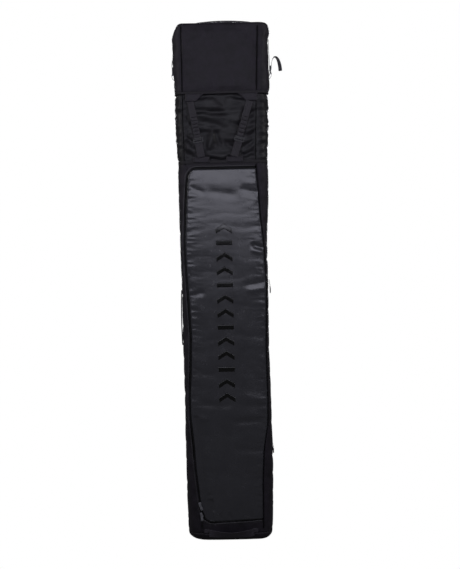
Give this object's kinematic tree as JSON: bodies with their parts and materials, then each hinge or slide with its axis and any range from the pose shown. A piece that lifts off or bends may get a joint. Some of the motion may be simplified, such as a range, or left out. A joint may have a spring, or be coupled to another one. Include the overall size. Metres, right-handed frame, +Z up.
{
  "type": "ski bag",
  "caption": "Upright padded ski bag with a zipped front door, an adjustable-length hood on hooked straps, grab handles and strap rings.",
  "frame": {"origin": "centre of the base panel's rest face, on the floor", "axes": "+Z up along the bag's length, -Y the front with the zipped door, +X the door's hinge side"},
  "size_m": [0.399, 0.1486, 1.8931],
  "materials": {
    "body_fabric": "matt coated woven polyester",
    "door_fabric": "smooth coated cloth with a soft sheen",
    "sleeve_fabric": "thin matt woven cloth",
    "patch_fabric": "stitched reinforcement",
    "padding": "foam under plain lining",
    "webbing": "ribbed woven webbing",
    "handle_webbing": "ribbed woven webbing",
    "zip_tape": "coated zip tape with coil",
    "board": "flexible plastic board",
    "moulded_plastic": "fine moulded grain",
    "dark_metal": "black lacquered wire",
    "zip_metal": "gunmetal plated, worn at the edges"
  },
  "bodies": {
    "bag_body": {"base_panel": "body_fabric", "base_stiffener": "board", "back_panel": "body_fabric", "lower_front_panel": "body_fabric", "upper_front_border": "body_fabric", "left_side_panel": "body_fabric", "right_side_panel": "body_fabric", "zip_tape_body_side": "zip_tape", "sleeve": "sleeve_fabric", "left_daisy_chain": "webbing", "right_daisy_chain": "webbing", "left_lower_patch": "patch_fabric", "right_lower_patch": "patch_fabric", "left_hook_strap": "webbing", "right_hook_strap": "webbing", "bottom_handle_left_tab": "handle_webbing", "bottom_handle_right_tab": "handle_webbing", "side_handle_lower_tab": "handle_webbing", "side_handle_upper_tab": "handle_webbing", "upper_ring_patch": "webbing", "lower_ring_patch": "webbing", "upper_ski_strap_left": "webbing", "lower_ski_strap_left": "webbing"},
    "door": {"door_panel": "door_fabric", "door_padding": "padding", "zip_tape_door_side": "zip_tape"},
    "upper_zip_slider": {"upper_slider": "zip_metal"},
    "upper_zip_pull": {"upper_pull": "zip_metal", "upper_pull_cord": "moulded_plastic"},
    "lower_zip_slider": {"lower_slider": "zip_metal"},
    "lower_zip_pull": {"lower_pull": "zip_metal", "lower_pull_cord": "moulded_plastic"},
    "hood": {"hood_top_panel": "body_fabric", "hood_front_panel": "body_fabric", "hood_back_panel": "body_fabric", "hood_left_side_panel": "body_fabric", "hood_right_side_panel": "body_fabric", "left_upper_patch": "patch_fabric", "right_upper_patch": "patch_fabric", "top_handle_left_tab": "handle_webbing", "top_handle_right_tab": "handle_webbing", "left_anchor_loop": "webbing", "right_anchor_loop": "webbing", "left_side_strap": "webbing", "right_side_strap": "webbing"},
    "top_grip": {"top_handle": "handle_webbing"},
    "bottom_grip": {"bottom_handle": "handle_webbing"},
    "side_grip": {"side_handle": "handle_webbing"},
    "left_hook_body": {"left_hook": "dark_metal"},
    "right_hook_body": {"right_hook": "dark_metal"},
    "left_lock": {"left_ladder_lock": "moulded_plastic"},
    "right_lock": {"right_ladder_lock": "moulded_plastic", "right_strap_tail": "webbing"},
    "upper_ring": {"upper_d_ring": "dark_metal"},
    "lower_ring": {"lower_d_ring": "dark_metal"},
    "upper_ski_strap": {"upper_ski_strap_right": "webbing"},
    "lower_ski_strap": {"lower_ski_strap_right": "webbing"}
  },
  "joints": [
    {"name": "door_hinge", "type": "hinge", "parent": "bag_body", "child": "door", "pos_m": [0.147, -0.066, 0.7], "axis": [0, 0, 1], "range_deg": [0, 165]},
    {"name": "upper_slider_travel", "type": "slide", "parent": "door", "child": "upper_zip_slider", "axis": [-0.103, 0, 0.9947], "range_m": [0, 0.28]},
    {"name": "upper_pull_swing", "type": "hinge", "parent": "upper_zip_slider", "child": "upper_zip_pull", "pos_m": [-0.10981, -0.0689, 0.13264], "axis": [-0.9336, 0, -0.3584], "range_deg": [0, 120]},
    {"name": "lower_slider_travel", "type": "hinge", "parent": "door", "child": "lower_zip_slider", "pos_m": [-0.061, -0.065, 0.11], "axis": [0, -1, 0], "range_deg": [0, 16]},
    {"name": "lower_pull_swing", "type": "hinge", "parent": "lower_zip_slider", "child": "lower_zip_pull", "pos_m": [-0.104, -0.0689, 0.09554], "axis": [-0.9994, 0, -0.0349], "range_deg": [0, 120]},
    {"name": "length_adjust", "type": "slide", "parent": "bag_body", "child": "hood", "axis": [0, 0, -1], "range_m": [0, 0.09], "deforming": ["sleeve", "left_daisy_chain", "right_daisy_chain"]},
    {"name": "top_handle_lift", "type": "hinge", "parent": "hood", "child": "top_grip", "pos_m": [0.01, 0.014, 1.8816], "axis": [-1, 0, 0], "range_deg": [0, 85]},
    {"name": "bottom_handle_lift", "type": "hinge", "parent": "bag_body", "child": "bottom_grip", "pos_m": [0.002, -0.0666, 0.043], "axis": [-1, 0, 0], "range_deg": [0, 85]},
    {"name": "side_handle_lift", "type": "hinge", "parent": "bag_body", "child": "side_grip", "pos_m": [-0.1598, 0.014, 0.812], "axis": [0, 0, -1], "range_deg": [0, 85]},
    {"name": "left_hook_swing", "type": "hinge", "parent": "bag_body", "child": "left_hook_body", "pos_m": [-0.08849, -0.0748, 1.44694], "axis": [0.9864, 0, 0.1644], "range_deg": [0, 70]},
    {"name": "right_hook_swing", "type": "hinge", "parent": "bag_body", "child": "right_hook_body", "pos_m": [0.0571, -0.0748, 1.44903], "axis": [0.9569, 0, -0.2905], "range_deg": [0, 70]},
    {"name": "left_lock_tilt", "type": "hinge", "parent": "hood", "child": "left_lock", "pos_m": [-0.1788, 0, 1.697], "axis": [0, -1, 0], "range_deg": [0, 25]},
    {"name": "right_lock_tilt", "type": "hinge", "parent": "hood", "child": "right_lock", "pos_m": [0.1788, 0, 1.697], "axis": [0, 1, 0], "range_deg": [0, 25]},
    {"name": "upper_ring_swing", "type": "hinge", "parent": "bag_body", "child": "upper_ring", "pos_m": [0.1619, 0, 0.9122], "axis": [0, -1, 0], "range_deg": [0, 150]},
    {"name": "lower_ring_swing", "type": "hinge", "parent": "bag_body", "child": "lower_ring", "pos_m": [0.1619, 0, 0.3272], "axis": [0, -1, 0], "range_deg": [0, 150]},
    {"name": "upper_ski_strap_open", "type": "hinge", "parent": "bag_body", "child": "upper_ski_strap", "pos_m": [0.118, 0.0588, 1.13], "axis": [0, 0, 1], "range_deg": [0, 45]},
    {"name": "lower_ski_strap_open", "type": "hinge", "parent": "bag_body", "child": "lower_ski_strap", "pos_m": [0.118, 0.0588, 0.42], "axis": [0, 0, 1], "range_deg": [0, 45]}
  ]
}
